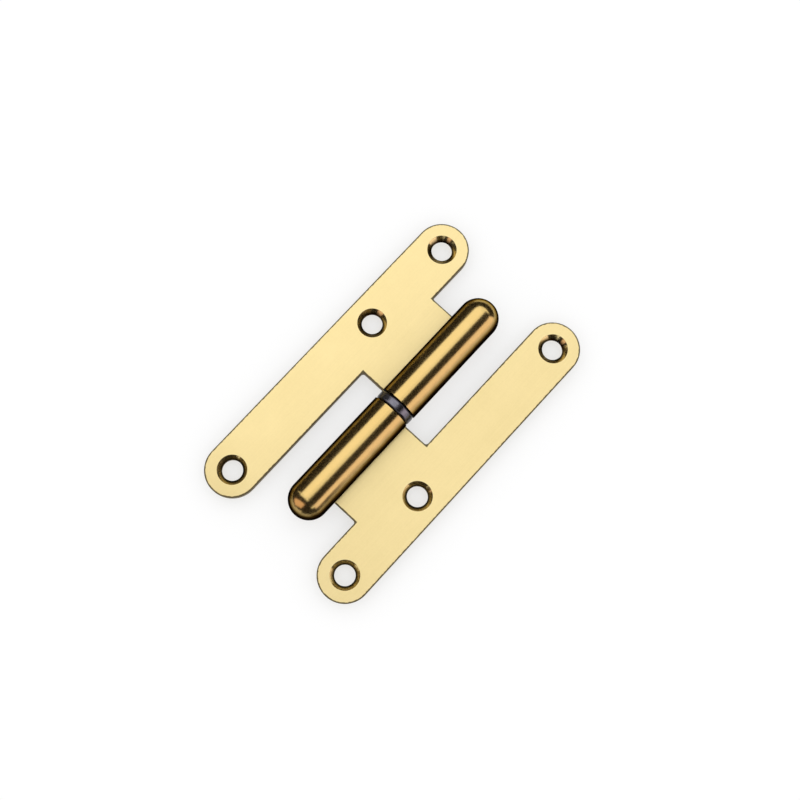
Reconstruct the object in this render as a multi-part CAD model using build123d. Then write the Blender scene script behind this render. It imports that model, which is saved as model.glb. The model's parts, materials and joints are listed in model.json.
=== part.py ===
from build123d import *
from math import asin, atan2, degrees, sqrt
import os

# A lift-off pin hinge, lying open on its back. Sizes are in millimetres.
# X runs across the open leaves, with the leaf that holds the pin at +X. Y runs along the pin,
# towards the end where the other leaf lifts off. Z is up, out of the countersunk faces. The origin
# is on the surface that the barrel rests on, under the middle of the washer.

# Leaves, both punched and rolled from the same blank
leaf_length = 100.0
arm_width = 15.2          # the long round-ended strip that carries the screw holes
arm_gap = 7.55            # from that strip to the other leaf's knuckle, with the hinge open
sheet = 2.5               # thickness of the steel
corner_radius = 0.8       # inside corners of the punched outline
edge_round = 0.3          # upper edge of the punched outline, rolled over by the punch
hole_diameter = 5.8
hole_land = 1.25          # straight wall left below the 90 degree countersink
middle_hole_pitch = 28.9  # from the end hole beside the knuckle to the middle hole

# Knuckles
bore_diameter = 6.5
knuckle_length = 28.5
closed_gap = 3.0          # between the countersunk faces when the hinge is shut
crank_radius = 1.0        # inside the bend at the back, where the leaf turns down under the knuckle
seam_gap = 0.3            # where the rolled edge comes back to the face of the leaf

# Pin, pressed into one knuckle and running in the other
running_clearance = 0.05  # on the radius
pin_end_gap = 0.6         # from each end of the pin to the finial beyond it
pin_lead = 0.9            # chamfer that guides the lifted leaf back onto the pin

# Washer between the knuckles
washer_thickness = 3.2
washer_clearance = 0.1    # on the radius, around the pin
washer_inset = 0.1        # of its rim from the outside of the knuckles
washer_round = 1.0        # of its outer edges, which leaves a narrow flat band

# Finials that close the outer ends of the knuckles
collar_length = 4.0       # straight part below the dome
spigot_length = 4.0       # pressed into the knuckle
spigot_chamfer = 0.5

bore_radius = bore_diameter / 2
running_radius = bore_radius - running_clearance
knuckle_radius = bore_radius + sheet
pin_height = knuckle_radius
leaf_top = pin_height - closed_gap / 2
leaf_back = leaf_top - sheet
arm_inner = knuckle_radius + arm_gap
arm_middle = arm_inner + arm_width / 2
end_hole_y = (leaf_length - arm_width) / 2
knuckle_start = washer_thickness / 2
knuckle_end = knuckle_start + knuckle_length
pin_reach = knuckle_end - spigot_length - pin_end_gap

# The knuckle is the sheet's middle line bent one way below the leaf and then rolled round the pin
roll_radius = bore_radius + sheet / 2
bend_radius = crank_radius + sheet / 2
bend_drop = closed_gap / 2 + sheet / 2 + bend_radius
bend_x = sqrt((roll_radius + bend_radius) ** 2 - bend_drop**2)

on_base = (Align.CENTER, Align.CENTER, Align.MIN)


def rod(radius, start, end):
    """Round bar on the pin's axis, between two places along it."""
    bar = Cylinder(radius, end - start, align=on_base)
    return Pos(0, start, pin_height) * Rot(-90, 0, 0) * bar


def half_turn(shape):
    """The same shape turned half a turn in plan, to the other side of the washer."""
    return Rot(0, 0, 180) * shape


def flat_blank():
    """Round-ended strip with the tab that leads to the knuckle, its upper edges rolled over."""
    strip = Pos(arm_middle, 0) * Rot(0, 0, 90) * SlotOverall(leaf_length, arm_width)
    tab = Rectangle(arm_middle - bend_x, knuckle_length, align=(Align.MIN, Align.MIN))
    outline = strip + Pos(bend_x, -knuckle_end) * tab
    corners = [outline.vertices().sort_by_distance((arm_inner, y))[0] for y in (-knuckle_start, -knuckle_end)]
    outline = fillet(corners, corner_radius)
    blank = Pos(0, 0, leaf_back) * extrude(outline, sheet)
    return fillet(blank.faces().sort_by(Axis.Z)[-1].edges(), edge_round)


def rolled_tab():
    """End of the tab, bent down below the leaf and rolled under, round and over the pin."""
    middle_z = (leaf_top + leaf_back) / 2
    join_angle = degrees(atan2(bend_drop, bend_x))
    end_angle = degrees(asin((closed_gap / 2 - seam_gap) / knuckle_radius))
    flat = Line((knuckle_radius, middle_z), (bend_x, middle_z))
    bend = CenterArc((bend_x, middle_z - bend_radius), bend_radius, 90, 90 - join_angle)
    roll = CenterArc((0, pin_height), roll_radius, -join_angle, join_angle - end_angle - 360)
    section = trace(flat + bend + roll, sheet)
    return extrude(Plane.XZ.offset(knuckle_start) * section, knuckle_length)


def screw_hole():
    """Cutter for a countersunk hole, standing on the back of the leaf."""
    hole_radius = hole_diameter / 2
    cone_depth = sheet - hole_land
    cone = Cone(hole_radius, hole_radius + cone_depth, cone_depth, align=on_base)
    return Cylinder(hole_radius, sheet, align=on_base) + Pos(0, 0, hole_land) * cone


def leaf():
    """Leaf at +X, with its knuckle on the -Y side of the washer."""
    sheet_metal = flat_blank() + rolled_tab()
    for y in (-end_hole_y, middle_hole_pitch - end_hole_y, end_hole_y):
        sheet_metal -= Pos(arm_middle, y, leaf_back) * screw_hole()
    return sheet_metal


def hinge_pin():
    """Pin with its full size where it is gripped, and relieved where the lifted leaf turns on it."""
    pin = rod(bore_radius, -pin_reach, -knuckle_start) + rod(running_radius, -knuckle_start, pin_reach)
    ends = pin.edges().filter_by(GeomType.CIRCLE).sort_by(Axis.Y)
    return chamfer([ends[0], ends[-1]], pin_lead)


def bearing_washer():
    """Ring on the pin that carries the lifted leaf."""
    ring = rod(knuckle_radius - washer_inset, -knuckle_start, knuckle_start)
    ring = fillet(ring.edges().filter_by(GeomType.CIRCLE), washer_round)
    return ring - rod(running_radius + washer_clearance, -knuckle_start, knuckle_start)


def finial():
    """Domed end for a knuckle on the +Y side, with the spigot that is pressed into it."""
    spigot = rod(bore_radius, knuckle_end - spigot_length, knuckle_end)
    spigot = chamfer(spigot.edges().filter_by(GeomType.CIRCLE).sort_by(Axis.Y)[0], spigot_chamfer)
    dome_start = knuckle_end + collar_length
    ball = Pos(0, dome_start, pin_height) * Sphere(knuckle_radius)
    return spigot + rod(knuckle_radius, knuckle_end, dome_start) + split(ball, Plane.ZX.offset(dome_start))


pieces = {
    "pin_leaf": leaf(),
    "lift_leaf": half_turn(leaf()),
    "hinge_pin": hinge_pin(),
    "bearing_washer": bearing_washer(),
    "pin_leaf_finial": half_turn(finial()),
    "lift_leaf_finial": finial(),
}

os.makedirs("parts", exist_ok=True)
for name, piece in pieces.items():
    export_step(piece, f"parts/{name}.step")
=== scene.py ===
import bpy
import json
from math import cos, radians, sin
from mathutils import Matrix, Vector


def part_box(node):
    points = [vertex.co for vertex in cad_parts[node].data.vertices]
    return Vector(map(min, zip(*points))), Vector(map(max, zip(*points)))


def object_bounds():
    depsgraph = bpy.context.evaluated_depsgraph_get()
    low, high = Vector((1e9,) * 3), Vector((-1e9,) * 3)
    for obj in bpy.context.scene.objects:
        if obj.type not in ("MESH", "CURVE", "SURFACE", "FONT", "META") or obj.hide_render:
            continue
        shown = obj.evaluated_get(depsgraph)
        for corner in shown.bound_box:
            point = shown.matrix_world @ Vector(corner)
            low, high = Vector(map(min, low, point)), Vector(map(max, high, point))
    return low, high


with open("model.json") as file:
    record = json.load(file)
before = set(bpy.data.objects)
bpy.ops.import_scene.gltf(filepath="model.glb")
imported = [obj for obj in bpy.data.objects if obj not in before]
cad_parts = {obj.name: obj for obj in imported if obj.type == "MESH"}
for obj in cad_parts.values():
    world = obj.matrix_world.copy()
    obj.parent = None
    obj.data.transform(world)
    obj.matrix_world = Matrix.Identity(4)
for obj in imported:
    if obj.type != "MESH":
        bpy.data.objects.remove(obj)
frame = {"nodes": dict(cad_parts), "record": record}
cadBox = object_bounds()
record = frame["record"]
pinHeight = record["behaviour"]["joints"][0]["pos_m"][2]
knuckleRadius = pinHeight    # the barrel rests on the floor
print("hinge loaded with", len(frame["nodes"]), "solids")


# Camera, nearly straight down on the open hinge
cameraView = {
    "lookAt": (-0.00052, 0.00275, 0.00425),
    "distance": 0.3391,
    "lens": 55.494,
    "sensor": 36.0,
    "clip": (0.005, 50.0),
    "turn": 43.0,            # of the picture about the line of sight
    "leanY": 8.59,           # degrees off vertical, towards the lower end of the barrel
    "leanX": 5.38,           # degrees off vertical, towards the pin leaf
    "roll": 0.15,            # of the whole view about the vertical
}


def makeCamera(view):
    turned = Matrix.Rotation(radians(view["roll"]), 4, "Z")
    turned = turned @ Matrix.Rotation(radians(view["leanX"]), 4, "Y")
    turned = turned @ Matrix.Rotation(radians(view["leanY"]), 4, "X")
    turned = turned @ Matrix.Rotation(radians(view["turn"]), 4, "Z")
    back = turned.to_3x3() @ Vector((0, 0, view["distance"]))
    lensData = bpy.data.cameras.new("hingeCamera")
    lensData.lens = view["lens"]
    lensData.sensor_width = view["sensor"]
    lensData.clip_start, lensData.clip_end = view["clip"]
    camera = bpy.data.objects.new("hingeCamera", lensData)
    camera.matrix_world = Matrix.Translation(Vector(view["lookAt"]) + back) @ turned
    bpy.context.collection.objects.link(camera)
    bpy.context.scene.camera = camera


makeCamera(cameraView)
print("camera set")


# Small helpers for node trees
noiseSpan = (0.3, 0.7)       # a noise texture has most of its values between these


def put(tree, kind, feeds=None, **settings):
    made = tree.nodes.new("ShaderNode" + kind)
    for name, value in settings.items():
        setattr(made, name, value)
    for name, value in (feeds or {}).items():
        if isinstance(value, bpy.types.NodeSocket):
            tree.links.new(value, made.inputs[name])
        else:
            made.inputs[name].default_value = value
    return made


def calc(tree, operation, first, second=0.0):
    return put(tree, "Math", {0: first, 1: second}, operation=operation).outputs[0]


def product(tree, first, *others):
    for other in others:
        first = calc(tree, "MULTIPLY", first, other)
    return first


def addShare(tree, value, extra, share):
    # adds a part of another value; a negative share takes it away
    return calc(tree, "ADD", value, product(tree, extra, share))


def invert(tree, mask):
    return calc(tree, "SUBTRACT", 1.0, mask)


def fade(tree, value, low, high, outLow=0.0, outHigh=1.0):
    # straight ramp of a value, held at both ends
    feeds = {"Value": value, "From Min": low, "From Max": high, "To Min": outLow, "To Max": outHigh}
    return put(tree, "MapRange", feeds).outputs[0]


def blendValues(tree, mask, first, second):
    return put(tree, "Mix", {0: mask, 2: first, 3: second}, data_type="FLOAT").outputs[0]


def blendColours(tree, mask, first, second):
    return put(tree, "Mix", {0: mask, 6: first, 7: second}, data_type="RGBA").outputs[2]


def stretch(tree, vector, scales):
    return put(tree, "VectorMath", {0: vector, 1: scales}, operation="MULTIPLY").outputs[0]


def flatLength(tree, first, second):
    joined = put(tree, "CombineXYZ", {"X": first, "Y": second}).outputs[0]
    return put(tree, "VectorMath", {0: joined}, operation="LENGTH").outputs["Value"]


def noise(tree, vector, scale=1.0, **extra):
    return put(tree, "TexNoise", {"Vector": vector, "Scale": scale, **extra}).outputs[0]


def startEffect(name, inputs, output):
    tree = bpy.data.node_groups.new(name, "ShaderNodeTree")
    tree.interface.new_socket("Vector", in_out="INPUT", socket_type="NodeSocketVector")
    for label, value in inputs.items():
        socket = tree.interface.new_socket(label, in_out="INPUT", socket_type="NodeSocketFloat")
        socket.default_value = value
    tree.interface.new_socket(output, in_out="OUTPUT", socket_type="NodeSocketFloat")
    given = tree.nodes.new("NodeGroupInput").outputs
    result = tree.nodes.new("NodeGroupOutput").inputs[output]
    return tree, given, result


def useEffect(tree, effect, vector, **feeds):
    return put(tree, "Group", {"Vector": vector, **feeds}, node_tree=effect).outputs[0]


# Effects that more than one finish uses
mottle = {"size": 0.002, "detail": 3.0, "roughness": 0.55}
wheelLines = {"pitch": 0.0003, "acrossScale": 70.0, "detail": 2.0}
scratch = {
    "lineScale": (60, 5000, 60),
    "line": (0.66, 0.74),
    "breakScale": 130.0,
    "breaks": (0.48, 0.66),
}
# heights of the painted shade on the flanks of the knuckles, finials and washer
flank = {
    "dark": 0.0029,          # above or below the middle of the pin
    "clean": 0.0048,
    "ripple": 0.0006,
    "rippleScale": 420.0,
}


def makePinDistance():
    # how far a point is from the middle line of the pin
    tree, given, result = startEffect("pinDistance", {}, "Distance")
    moved = put(tree, "VectorMath", {0: given["Vector"], 1: (0, 0, -pinHeight)}, operation="ADD").outputs[0]
    flat = stretch(tree, moved, (1, 0, 1))
    length = put(tree, "VectorMath", {0: flat}, operation="LENGTH").outputs["Value"]
    tree.links.new(length, result)
    return tree


def makeMottle(look):
    # soft cloudy change in the plating
    tree, given, result = startEffect("platingMottle", {"Size": look["size"]}, "Tone")
    scale = calc(tree, "DIVIDE", 1.0, given["Size"])
    clouds = noise(tree, given["Vector"], scale, Detail=look["detail"], Roughness=look["roughness"])
    tree.links.new(fade(tree, clouds, *noiseSpan), result)
    return tree


def makePolishRings(look):
    # lines left by a polishing wheel, running round the pin
    tree, given, result = startEffect("polishRings", {"Pitch": look["pitch"]}, "Height")
    perMetre = calc(tree, "DIVIDE", 1.0, given["Pitch"])
    scales = {"X": look["acrossScale"], "Y": perMetre, "Z": look["acrossScale"]}
    along = put(tree, "CombineXYZ", scales).outputs[0]
    lines = noise(tree, stretch(tree, given["Vector"], along), Detail=look["detail"])
    tree.links.new(lines, result)
    return tree


def makeHairlines(look):
    # sparse fine scratches in one direction, broken up along their length
    tree, given, result = startEffect("hairlines", {"Turn": 0.0}, "Mask")
    feeds = {"Vector": given["Vector"], "Angle": given["Turn"]}
    turned = put(tree, "VectorRotate", feeds, rotation_type="Z_AXIS").outputs[0]
    lines = noise(tree, stretch(tree, turned, look["lineScale"]))
    breaks = noise(tree, given["Vector"], look["breakScale"], Detail=1.0)
    mask = product(tree, fade(tree, lines, *look["line"]), fade(tree, breaks, *look["breaks"]))
    tree.links.new(mask, result)
    return tree


def makePaintedFlankShade(look):
    # painted shade: darkens the flanks of the barrel, near the height of the pin's middle line, in place of
    # dark reflections
    tree, given, result = startEffect("unbuffed", {}, "Mask")
    height = put(tree, "SeparateXYZ", {0: given["Vector"]}).outputs["Z"]
    offAxis = calc(tree, "ABSOLUTE", calc(tree, "SUBTRACT", height, pinHeight))
    ripple = noise(tree, given["Vector"], look["rippleScale"], Detail=2.0)
    level = addShare(tree, offAxis, ripple, look["ripple"])
    tree.links.new(fade(tree, level, look["dark"], look["clean"], 1.0, 0.0), result)
    return tree


pinDistance = makePinDistance()
platingMottle = makeMottle(mottle)
polishRings = makePolishRings(wheelLines)
hairlines = makeHairlines(scratch)
unbuffed = makePaintedFlankShade(flank)
print("shared effects ready")


def startFinish(name):
    material = bpy.data.materials.new(name)
    material.use_nodes = True
    tree = material.node_tree
    shader = tree.nodes["Principled BSDF"]
    coords = tree.nodes.new("ShaderNodeTexCoord").outputs
    return material, tree, shader, coords


def feedShader(tree, shader, colour, rough, height):
    tree.links.new(colour, shader.inputs["Base Color"])
    tree.links.new(rough, shader.inputs["Roughness"])
    bump = put(tree, "Bump", {"Height": height, "Strength": 1.0, "Distance": 1.0})
    tree.links.new(bump.outputs[0], shader.inputs["Normal"])


# Plated leaf: satin on the flat sheet, polished on the knuckle, turned in the countersinks
leafFinish = {
    "satin": (0.868, 0.70, 0.337, 1),
    "satinLight": (0.948, 0.773, 0.389, 1),
    "polished": (0.73, 0.51, 0.187, 1),
    "polishedLight": (0.77, 0.545, 0.212, 1),
    # painted shade on the knuckle's flanks
    "unbuffed": (0.065, 0.047, 0.022, 1),
    "countersink": (0.86, 0.68, 0.32, 1),
    # painted shade deep in the countersinks
    "countersinkDeep": (0.05, 0.036, 0.018, 1),
    # painted shade on the rolled edges, along the outline and on the walls
    "edge": (0.13, 0.105, 0.05, 1),
    "wall": (0.18, 0.13, 0.056, 1),
    # grazing tints, the colour of reflections at steep angles, are a real Fresnel setting; their dark values,
    # near black on the knuckle, are painted dark reflections on the rims and walls
    "grazing": (0.30, 0.24, 0.14, 1),
    "knuckleGrazing": (0.02, 0.015, 0.01, 1),
    "satinMetal": 0.40,
    "satinRough": 0.38,
    "satinSpread": 0.02,
    "brushRough": 0.04,
    "tornRough": 0.12,
    "polishedRough": 0.20,
    "polishedSpread": 0.025,
    "unbuffedRough": 0.10,
    "countersinkRough": 0.16,
    "scratchShine": 0.04,
    "scratchTurn": 0.35,
    "scratchDepth": 0.0000008,
    "knuckleEdge": (0.00002, 0.00008),    # outside the knuckle, where polish turns to satin
    "holeEdge": 0.00004,
    "deep": (0.0011, 0.0003),             # in from a countersink's rim: painted shade, then bright
    "backSkin": 0.00002,                  # keeps the hole's finish off the back of the leaf
    "rolledSlope": (0.80, 0.97),
    "wallSlope": (0.15, 0.35),
    "edgeWear": 0.00048,                  # width of the painted dark line of shade along the punched outline
    "edgeRagged": (0.75, 1.15),
    "edgeSolid": 0.7,
    "chipScale": 1500.0,
    "tearHeight": 0.42,                   # share of the wall, from the back, that is torn
    "tearRagged": 0.0006,
    "tearScale": 900.0,
    "dragScale": (5200, 5200, 350),
    "dragLeast": 0.75,
    "dragDepth": 0.000012,
    "cloudSize": 0.0005,
    "broadSize": 0.009,
    "brushScale": (3200, 45, 3200),
    "brushShare": 0.5,
    "broadShare": 0.4,
    "grainSize": 0.00022,
    "grainDepth": 0.0000010,
    "brushDepth": 0.4,                    # beside the grain
    "ringPitch": 0.00025,
    "ringDepth": 0.0000006,
    "turningScale": 9000.0,
    "turningDepth": 0.0000018,
}
endScrews = record["mounts"][0]
knuckleScrews = record["mounts"][1]
screwRow = {
    "x": endScrews["pos_m"][0],
    "end": endScrews["dims"]["spacing_y_mm"] / 2000,
    "middle": knuckleScrews["pos_m"][1] + knuckleScrews["dims"]["spacing_y_mm"] / 2000,
    "rim": 0.00415,
}
blank = {
    "back": endScrews["pos_m"][2],
    "sheet": 0.0025,
    "halfWidth": cadBox[1][0] - screwRow["x"],    # of the round-ended strip
    "tabStart": 0.0016,
    "tabEnd": 0.0301,
}


def markLeaf(tree, coords, look, holes, outline):
    place = coords["Object"]
    split = put(tree, "SeparateXYZ", {0: place}).outputs
    facing = put(tree, "SeparateXYZ", {0: coords["Normal"]}).outputs
    offCentre = calc(tree, "ABSOLUTE", split["X"])
    radius = useEffect(tree, pinDistance, place)
    edgeStart, edgeEnd = look["knuckleEdge"]
    knuckle = fade(tree, radius, knuckleRadius + edgeStart, knuckleRadius + edgeEnd, 1.0, 0.0)

    # nearest screw hole: the leaves are the same blank half a turn apart, so one row serves both
    across = calc(tree, "SUBTRACT", offCentre, holes["x"])
    along = product(tree, split["Y"], calc(tree, "SIGN", split["X"]))
    lengths = []
    for spot in (-holes["end"], holes["middle"], holes["end"]):
        lengths.append(flatLength(tree, across, calc(tree, "SUBTRACT", along, spot)))
    nearest = calc(tree, "MINIMUM", calc(tree, "MINIMUM", lengths[0], lengths[1]), lengths[2])
    inHole = fade(tree, nearest, holes["rim"] - look["holeEdge"], holes["rim"], 1.0, 0.0)
    offBack = calc(tree, "GREATER_THAN", split["Z"], outline["back"] + look["backSkin"])
    inHole = product(tree, inHole, offBack)
    # painted shade deep in each countersink, fading out towards the rim
    deepEnd, deepStart = look["deep"]
    deep = fade(tree, nearest, holes["rim"] - deepEnd, holes["rim"] - deepStart, 1.0, 0.0)

    # how far in from the punched outline: round-ended strip, or tab that leads to the knuckle
    pastEnd = calc(tree, "SUBTRACT", calc(tree, "ABSOLUTE", along), holes["end"])
    offMiddle = flatLength(tree, across, calc(tree, "MAXIMUM", pastEnd, 0.0))
    inStrip = calc(tree, "SUBTRACT", outline["halfWidth"], offMiddle)
    fromStart = calc(tree, "SUBTRACT", -outline["tabStart"], along)
    inTab = calc(tree, "MINIMUM", calc(tree, "ADD", along, outline["tabEnd"]), fromStart)
    inTab = calc(tree, "MINIMUM", inTab, product(tree, across, -1.0))
    inside = calc(tree, "MAXIMUM", inStrip, inTab)

    # punched walls: burnished near the face, torn below; their dark colour and the dark line along the
    # outline are painted shade
    plain = product(tree, invert(tree, knuckle), invert(tree, inHole))
    sheetOnly = product(tree, plain, calc(tree, "GREATER_THAN", offCentre, knuckleRadius))
    steep = calc(tree, "ABSOLUTE", facing["Z"])
    rolled = product(tree, fade(tree, steep, *look["rolledSlope"], 1.0, 0.0), sheetOnly)
    wall = product(tree, fade(tree, steep, *look["wallSlope"], 1.0, 0.0), rolled)
    # painted shade: a dark line of ragged width along the punched outline
    chips = noise(tree, place, look["chipScale"], Detail=2.0)
    width = product(tree, fade(tree, chips, *noiseSpan, *look["edgeRagged"]), look["edgeWear"])
    worn = invert(tree, fade(tree, inside, product(tree, width, look["edgeSolid"]), width))
    tearLine = noise(tree, stretch(tree, place, (1, 1, 0)), look["tearScale"])
    tearStart = outline["back"] + outline["sheet"] * look["tearHeight"]
    tearTop = calc(tree, "ADD", product(tree, tearLine, look["tearRagged"]), tearStart)
    return {
        "knuckle": knuckle,
        "nearest": nearest,
        "inHole": inHole,
        "deep": deep,
        "bright": calc(tree, "MAXIMUM", knuckle, inHole),
        "plain": plain,
        "rolled": rolled,
        "wall": wall,
        "worn": product(tree, worn, sheetOnly),
        "torn": product(tree, wall, calc(tree, "LESS_THAN", split["Z"], tearTop)),
        # painted shade mask for the flanks of the knuckle
        "low": useEffect(tree, unbuffed, place),
    }


def patternLeaf(tree, place, look, nearest):
    turned = put(tree, "CombineXYZ", {"X": nearest}).outputs[0]
    return {
        "clouds": useEffect(tree, platingMottle, place, Size=look["cloudSize"]),
        "broad": useEffect(tree, platingMottle, place, Size=look["broadSize"]),
        "scratches": useEffect(tree, hairlines, place, Turn=look["scratchTurn"]),
        "rings": useEffect(tree, polishRings, place, Pitch=look["ringPitch"]),
        "brush": fade(tree, noise(tree, stretch(tree, place, look["brushScale"])), *noiseSpan),
        "grain": noise(tree, place, 1 / look["grainSize"], Detail=2.0),
        "drag": noise(tree, stretch(tree, place, look["dragScale"])),
        "turning": noise(tree, turned, look["turningScale"]),
    }


def colourLeaf(tree, look, masks, tones):
    tone = blendValues(tree, look["brushShare"], tones["clouds"], tones["brush"])
    tone = blendValues(tree, look["broadShare"], tone, tones["broad"])
    satin = blendColours(tree, tone, look["satin"], look["satinLight"])
    polished = blendColours(tree, tones["broad"], look["polished"], look["polishedLight"])
    # painted shade darkens the knuckle's flanks
    polished = blendColours(tree, masks["low"], polished, look["unbuffed"])
    sink = blendColours(tree, masks["deep"], look["countersink"], look["countersinkDeep"])
    polished = blendColours(tree, masks["inHole"], polished, sink)
    colour = blendColours(tree, masks["bright"], satin, polished)
    # painted shade: the rolled edges, the line along the outline and the walls darken
    dull = product(tree, masks["rolled"], fade(tree, tones["drag"], *noiseSpan, look["dragLeast"], 1.0))
    dull = calc(tree, "MAXIMUM", dull, masks["worn"])
    return blendColours(tree, dull, colour, blendColours(tree, masks["wall"], look["edge"], look["wall"]))


def roughenLeaf(tree, look, masks, tones):
    satin, spread = look["satinRough"], look["satinSpread"]
    rough = blendValues(tree, tones["clouds"], satin - spread, satin + spread)
    rough = addShare(tree, rough, calc(tree, "SUBTRACT", tones["brush"], 0.5), look["brushRough"])
    rough = addShare(tree, rough, masks["torn"], look["tornRough"])
    polished, spread = look["polishedRough"], look["polishedSpread"]
    shine = blendValues(tree, tones["broad"], polished - spread, polished + spread)
    shine = addShare(tree, shine, masks["low"], look["unbuffedRough"])
    rough = blendValues(tree, masks["knuckle"], rough, shine)
    rough = blendValues(tree, masks["inHole"], rough, look["countersinkRough"])
    return addShare(tree, rough, tones["scratches"], -look["scratchShine"])


def raiseLeaf(tree, look, masks, tones):
    brushed = addShare(tree, tones["grain"], tones["brush"], look["brushDepth"])
    height = product(tree, brushed, masks["plain"], look["grainDepth"])
    height = addShare(tree, height, product(tree, tones["rings"], masks["knuckle"]), look["ringDepth"])
    height = addShare(tree, height, product(tree, tones["turning"], masks["inHole"]), look["turningDepth"])
    height = addShare(tree, height, product(tree, tones["drag"], masks["wall"]), look["dragDepth"])
    return addShare(tree, height, tones["scratches"], -look["scratchDepth"])


def makeLeafFinish(look, holes, outline):
    material, tree, shader, coords = startFinish("platedLeaf")
    masks = markLeaf(tree, coords, look, holes, outline)
    tones = patternLeaf(tree, coords["Object"], look, masks["nearest"])
    metal = blendValues(tree, masks["bright"], look["satinMetal"], 1.0)
    tree.links.new(metal, shader.inputs["Metallic"])
    # dark grazing tints: painted dark reflections at steep angles
    grazing = blendColours(tree, masks["knuckle"], look["grazing"], look["knuckleGrazing"])
    tree.links.new(grazing, shader.inputs["Specular Tint"])
    colour = colourLeaf(tree, look, masks, tones)
    rough = roughenLeaf(tree, look, masks, tones)
    feedShader(tree, shader, colour, rough, raiseLeaf(tree, look, masks, tones))
    return material


# Polished finial: turned, then buffed like the knuckles
finialFinish = {
    "gold": leafFinish["polished"],
    "goldLight": leafFinish["polishedLight"],
    # painted shade on the dome's flanks
    "unbuffed": leafFinish["unbuffed"],
    # near-black grazing tint, a painted dark reflection on the dome's rims
    "grazing": leafFinish["knuckleGrazing"],
    "broadSize": 0.006,
    "rough": (0.175, 0.23),
    "unbuffedRough": leafFinish["unbuffedRough"],
    "ringPitch": 0.0002,
    "ringDepth": 0.0000006,
    "scratchTurn": 1.1,
    "scratchRough": 0.05,
    "scratchDepth": 0.0000006,
}


def makeFinialFinish(look):
    material, tree, shader, coords = startFinish("polishedFinial")
    place = coords["Object"]
    broad = useEffect(tree, platingMottle, place, Size=look["broadSize"])
    rings = useEffect(tree, polishRings, place, Pitch=look["ringPitch"])
    scratches = useEffect(tree, hairlines, place, Turn=look["scratchTurn"])
    # painted shade darkens the dome's flanks
    low = useEffect(tree, unbuffed, place)
    gold = blendColours(tree, broad, look["gold"], look["goldLight"])
    colour = blendColours(tree, low, gold, look["unbuffed"])
    rough = blendValues(tree, broad, *look["rough"])
    rough = addShare(tree, rough, low, look["unbuffedRough"])
    rough = addShare(tree, rough, scratches, look["scratchRough"])
    height = product(tree, rings, look["ringDepth"])
    height = addShare(tree, height, scratches, -look["scratchDepth"])
    shader.inputs["Metallic"].default_value = 1.0
    shader.inputs["Specular Tint"].default_value = look["grazing"]
    feedShader(tree, shader, colour, rough, height)
    return material


# Blackened washer, rubbed on its narrow outer band, with painted shade on the band's flanks
washerFinish = {
    "black": (0.045, 0.043, 0.055, 1),
    "worn": (0.15, 0.145, 0.175, 1),
    "rubbed": (0.26, 0.25, 0.29, 1),
    "outerRadius": 0.00565,
    "bandEdge": (0.00008, 0.00001),       # in from the outside: black, then rubbed
    "cloudSize": 0.0012,
    "rough": (0.23, 0.33),
    "ringPitch": 0.00018,
    "ringDepth": 0.0000012,
    "scratchTurn": 1.57,
}


def makeWasherFinish(look):
    material, tree, shader, coords = startFinish("blackenedSteel")
    place = coords["Object"]
    radius = useEffect(tree, pinDistance, place)
    clouds = useEffect(tree, platingMottle, place, Size=look["cloudSize"])
    rings = useEffect(tree, polishRings, place, Pitch=look["ringPitch"])
    scratches = useEffect(tree, hairlines, place, Turn=look["scratchTurn"])
    low = useEffect(tree, unbuffed, place)
    bandStart, bandFull = look["bandEdge"]
    band = fade(tree, radius, look["outerRadius"] - bandStart, look["outerRadius"] - bandFull)
    rubbed = calc(tree, "MAXIMUM", product(tree, band, clouds), scratches)
    colour = blendColours(tree, rubbed, look["worn"], look["rubbed"])
    # painted shade: the flanks of the band are black too, so rubbed metal shows only on top
    kept = calc(tree, "MAXIMUM", low, invert(tree, band))
    colour = blendColours(tree, kept, colour, look["black"])
    rough = blendValues(tree, clouds, *look["rough"])
    shader.inputs["Metallic"].default_value = 1.0
    feedShader(tree, shader, colour, rough, product(tree, rings, look["ringDepth"]))
    return material


# Drawn steel pin, with lines along its length
pinFinish = {
    "steel": (0.50, 0.50, 0.52, 1),
    "steelLight": (0.62, 0.62, 0.635, 1),
    "cloudSize": 0.004,
    "rough": (0.19, 0.29),
    "scratchRough": 0.08,
    "lineScale": (3500, 60, 3500),
    "lineDepth": 0.000001,
}


def makePinFinish(look):
    material, tree, shader, coords = startFinish("drawnSteel")
    place = coords["Object"]
    clouds = useEffect(tree, platingMottle, place, Size=look["cloudSize"])
    drawn = noise(tree, stretch(tree, place, look["lineScale"]))
    scratches = useEffect(tree, hairlines, place)
    colour = blendColours(tree, clouds, look["steel"], look["steelLight"])
    rough = blendValues(tree, clouds, *look["rough"])
    rough = addShare(tree, rough, scratches, look["scratchRough"])
    shader.inputs["Metallic"].default_value = 1.0
    feedShader(tree, shader, colour, rough, product(tree, drawn, look["lineDepth"]))
    return material


finishes = {
    "plated_leaf": makeLeafFinish(leafFinish, screwRow, blank),
    "polished_finial": makeFinialFinish(finialFinish),
    "dark_washer": makeWasherFinish(washerFinish),
    "pin_steel": makePinFinish(pinFinish),
}
for subpart in record["subparts"]:
    solid = frame["nodes"][subpart["node"]]
    solid.material_slots[0].material = finishes[subpart["material_slot"]]
print("finishes on", len(record["subparts"]), "solids")


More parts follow.
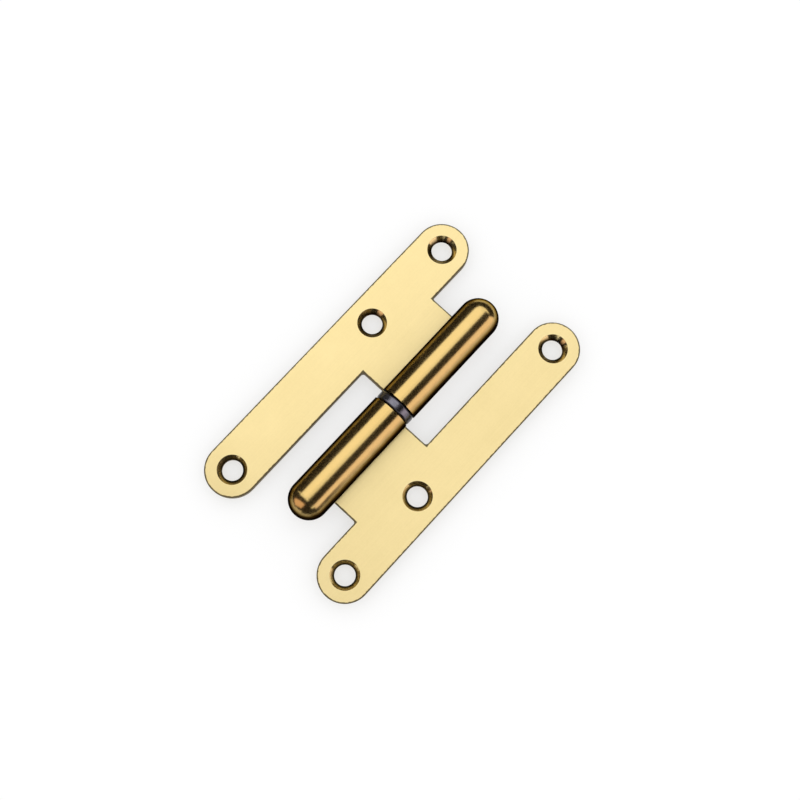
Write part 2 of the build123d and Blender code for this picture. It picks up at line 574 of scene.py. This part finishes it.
# Studio: pale floor, even white surround, one softbox, and cards that only shiny metal sees
studio = {
    "floorHalf": 4.0,
    "floorColour": (0.36, 0.36, 0.36, 1),
    "floorGlow": 0.60,       # seen by the camera and by shiny metal, so the paper stays white in the gaps
    "surround": 1.13,
    "softboxWatts": 0.4,
    "softboxSize": 0.9,
    "softboxAt": (-0.5, 0.35, 1.0),
    "farDistance": 1.2,
    "domeDistance": 0.065,
    "domeInset": 0.004,      # from the tip of the lower dome to the middle of the cards round it
    "domeRise": 0.002,
    "cardSteps": 12,
    "fenceSteps": 24,
    "fenceDistance": 0.105,
    "fenceFoot": 0.0005,
    "stripX": -0.045,
    "stripHalf": 0.09,
    "stripHeight": 0.018,
}
white = (1, 1, 1, 1)
cardColours = {
    "black": (0.025, 0.022, 0.02, 1),
    "warm": (1.10, 0.95, 0.96, 1),
    "low": (0.85, 0.60, 0.52, 1),
}

# Cards as patches of a ball round a point: degrees from upright towards +X, then out of that plane towards +Y
farCards = {
    "overheadFlag": ((9, 48), (-31, 50), "black"),
    "sideFlag": ((-90, -48), (-8, 50), "black"),
    "warmSide": ((48, 90), (-12, 50), "warm"),
    "southFlag": ((58, 86), (-72, -12), "black"),
}
cameraCards = {
    "cameraBody": ((1.4, 9.0), (-11.8, -4.2), "black"),
}
domeCards = {
    "domeFlagHigh": ((-90, 12), (-38, -14), "black"),
    "domeFlagLeft": ((-90, -48), (-34, -8), "black"),
    "domeFlagLow": ((10, 60), (-72, -24), "black"),
    "domeFlagFoot": ((-80, 60), (-89, -70), "black"),
    "domePanel": ((-80, 10), (-70, -38), "low"),
}

# Upright strips round the hinge: degrees from +X towards +Y, then height
fences = {
    "lowerFence": ((-82, -10), 0.040),
    "upperFence": ((60, 120), 0.050),
    "sideFence": ((120, 260), 0.040),
}


def makeSurround(strength):
    world = bpy.data.worlds.new("whiteSurround")
    world.use_nodes = True
    shade = world.node_tree.nodes["Background"]
    shade.inputs["Color"].default_value = white
    shade.inputs["Strength"].default_value = strength
    bpy.context.scene.world = world


def makeFloor(colour, glow, half):
    corners = [(-half, -half, 0), (half, -half, 0), (half, half, 0), (-half, half, 0)]
    mesh = bpy.data.meshes.new("floor")
    mesh.from_pydata(corners, [], [(0, 1, 2, 3)])
    floor = bpy.data.objects.new("floor", mesh)
    bpy.context.collection.objects.link(floor)
    paper = bpy.data.materials.new("paleFloor")
    paper.use_nodes = True
    tree = paper.node_tree
    shader = tree.nodes["Principled BSDF"]
    shader.inputs["Base Color"].default_value = colour
    shader.inputs["Roughness"].default_value = 1.0
    shader.inputs["Specular IOR Level"].default_value = 0.0
    shader.inputs["Emission Color"].default_value = white
    ray = put(tree, "LightPath").outputs
    seen = calc(tree, "MAXIMUM", ray["Is Camera Ray"], ray["Is Glossy Ray"])
    seen = calc(tree, "MAXIMUM", seen, ray["Is Transmission Ray"])
    tree.links.new(product(tree, seen, glow), shader.inputs["Emission Strength"])
    mesh.materials.append(paper)


def makeSoftbox(place):
    lamp = bpy.data.lights.new("softbox", "AREA")
    lamp.shape = "SQUARE"
    lamp.size = place["softboxSize"]
    lamp.energy = place["softboxWatts"]
    box = bpy.data.objects.new("softbox", lamp)
    box.location = place["softboxAt"]
    box.rotation_euler = (-Vector(place["softboxAt"])).to_track_quat("-Z", "Y").to_euler()
    bpy.context.collection.objects.link(box)


def makeCardMaterial(name, colour):
    material = bpy.data.materials.new(name + "Card")
    material.use_nodes = True
    tree = material.node_tree
    tree.nodes.clear()
    glow = put(tree, "Emission", {"Color": colour, "Strength": 1.0})
    out = put(tree, "OutputMaterial")
    tree.links.new(glow.outputs[0], out.inputs["Surface"])
    return material


def makeHiddenCard(name, verts, faces, material):
    # only reflections see it, and it throws no shadow
    mesh = bpy.data.meshes.new(name)
    mesh.from_pydata(verts, [], faces)
    mesh.materials.append(material)
    card = bpy.data.objects.new(name, mesh)
    bpy.context.collection.objects.link(card)
    card.visible_camera = False
    card.visible_diffuse = False
    card.visible_shadow = False
    card.visible_transmission = False


def spread(ends, steps):
    # angles in even steps, from the first to the last
    first, last = ends
    return [radians(first + (last - first) * step / steps) for step in range(steps + 1)]


def makeCard(name, acrossRange, alongRange, material, distance, centre, steps):
    verts = []
    for across in spread(acrossRange, steps):
        for along in spread(alongRange, steps):
            spot = (sin(across) * cos(along), sin(along), cos(across) * cos(along))
            verts.append([middle + distance * value for middle, value in zip(centre, spot)])
    faces = []
    for i in range(steps):
        for k in range(steps):
            first = i * (steps + 1) + k
            faces.append((first, first + 1, first + steps + 2, first + steps + 1))
    makeHiddenCard(name, verts, faces, material)


def makeFence(name, turnRange, height, material, place):
    steps = place["fenceSteps"]
    distance = place["fenceDistance"]
    verts = []
    for turn in spread(turnRange, steps):
        verts.append((distance * cos(turn), distance * sin(turn), place["fenceFoot"]))
        verts.append((distance * cos(turn), distance * sin(turn), height))
    faces = [(2 * i, 2 * i + 2, 2 * i + 3, 2 * i + 1) for i in range(steps)]
    makeHiddenCard(name, verts, faces, material)


def makeStrip(name, material, place):
    # straight upright strip beside the lift leaf
    x, half, foot, top = place["stripX"], place["stripHalf"], place["fenceFoot"], place["stripHeight"]
    verts = [(x, -half, foot), (x, half, foot), (x, half, top), (x, -half, top)]
    makeHiddenCard(name, verts, [(0, 1, 2, 3)], material)


makeSurround(studio["surround"])
makeFloor(studio["floorColour"], studio["floorGlow"], studio["floorHalf"])
makeSoftbox(studio)
cardMaterials = {name: makeCardMaterial(name, colour) for name, colour in cardColours.items()}
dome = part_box("pin_leaf_finial")
domeMiddle = (0, dome[0][1] + studio["domeInset"], pinHeight + studio["domeRise"])
cardSets = [
    (farCards, studio["farDistance"], (0, 0, 0)),
    (cameraCards, cameraView["distance"], (0, 0, 0)),
    (domeCards, studio["domeDistance"], domeMiddle),
]
for cards, distance, centre in cardSets:
    for name, (acrossRange, alongRange, colour) in cards.items():
        makeCard(name, acrossRange, alongRange, cardMaterials[colour], distance, centre, studio["cardSteps"])
for name, (turnRange, height) in fences.items():
    makeFence(name, turnRange, height, cardMaterials["black"], studio)
makeStrip("sideStrip", cardMaterials["black"], studio)
print("studio ready")

bpy.context.scene.view_settings.view_transform = "Standard"
